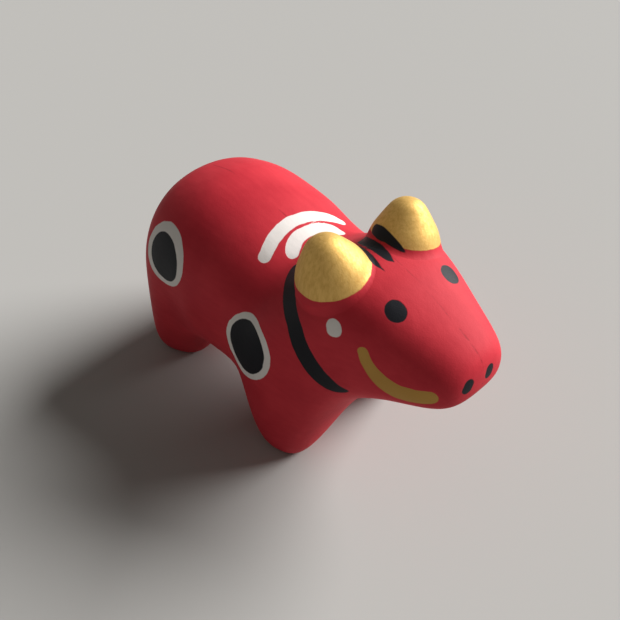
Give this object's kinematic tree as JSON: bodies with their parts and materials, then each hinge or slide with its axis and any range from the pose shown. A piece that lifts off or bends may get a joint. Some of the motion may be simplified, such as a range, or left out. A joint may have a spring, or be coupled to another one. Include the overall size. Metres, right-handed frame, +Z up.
{
  "type": "red ox folk figure",
  "caption": "Small hollow clay ox figure, painted red, with luted gold horns, a sounding slot in the belly and a loose pellet that rattles inside.",
  "frame": {"origin": "on the table, under the middle of the figure's box", "axes": "+X towards the nose, +Y towards the figure's left, +Z up"},
  "size_m": [0.0687, 0.0322, 0.0459],
  "materials": {
    "red_paint_left": "matte red paint on unglazed clay, with hand-painted marks",
    "red_paint_right": "matte red paint on unglazed clay, with hand-painted marks",
    "gold_paint_left": "brushed gold paint on unglazed clay",
    "gold_paint_right": "brushed gold paint on unglazed clay",
    "bare_clay": "bare fired clay"
  },
  "bodies": {
    "figure": {"left_shell": "red_paint_left", "right_shell": "red_paint_right", "left_horn": "gold_paint_left", "right_horn": "gold_paint_right"},
    "pellet": {"clay_pellet": "bare_clay"}
  },
  "joints": [
    {"name": "pellet_roll", "type": "hinge", "parent": "figure", "child": "pellet", "pos_m": [-0.012, 0, 0.038], "axis": [0, 1, 0], "range_deg": [-24, 24]}
  ]
}
